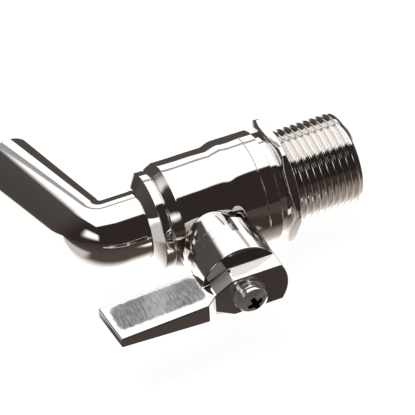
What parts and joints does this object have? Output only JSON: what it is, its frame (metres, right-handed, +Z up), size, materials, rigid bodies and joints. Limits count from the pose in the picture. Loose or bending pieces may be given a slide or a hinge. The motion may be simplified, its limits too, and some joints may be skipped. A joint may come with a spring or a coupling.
{
  "type": "beverage dispenser spigot",
  "caption": "Quarter-turn ball valve tap with a threaded hexagon inlet, a bent-down spout tube and a short lever screwed to its stem.",
  "frame": {"origin": "centre of the hexagon's sealing face, on the inlet thread's axis", "axes": "+Y along the inlet thread into the tank, +Z up the valve stem, the spout runs to -Y and turns down to -Z, +X to the right of someone who faces the tap"},
  "size_m": [0.025, 0.0726, 0.0636],
  "materials": {
    "polished_steel": "polished, mirror bright",
    "satin_steel": "fine satin",
    "ptfe": "soft white plastic",
    "seal_rubber": "smooth black rubber"
  },
  "bodies": {
    "tap": {"valve_body": "polished_steel", "inlet_connector": "polished_steel", "body_o_ring": "seal_rubber", "inlet_seat": "ptfe", "outlet_seat": "ptfe", "thrust_washer": "ptfe", "spout_tube": "polished_steel"},
    "lever": {"handle": "satin_steel", "handle_screw": "polished_steel", "flat_washer": "satin_steel", "lock_washer": "satin_steel", "stem": "polished_steel", "lower_stem_o_ring": "seal_rubber", "upper_stem_o_ring": "seal_rubber", "ball": "polished_steel"}
  },
  "joints": [
    {"name": "handle_turn", "type": "hinge", "parent": "tap", "child": "lever", "pos_m": [0, -0.0198, 0], "axis": [0, 0, 1], "range_deg": [0, 90]}
  ]
}
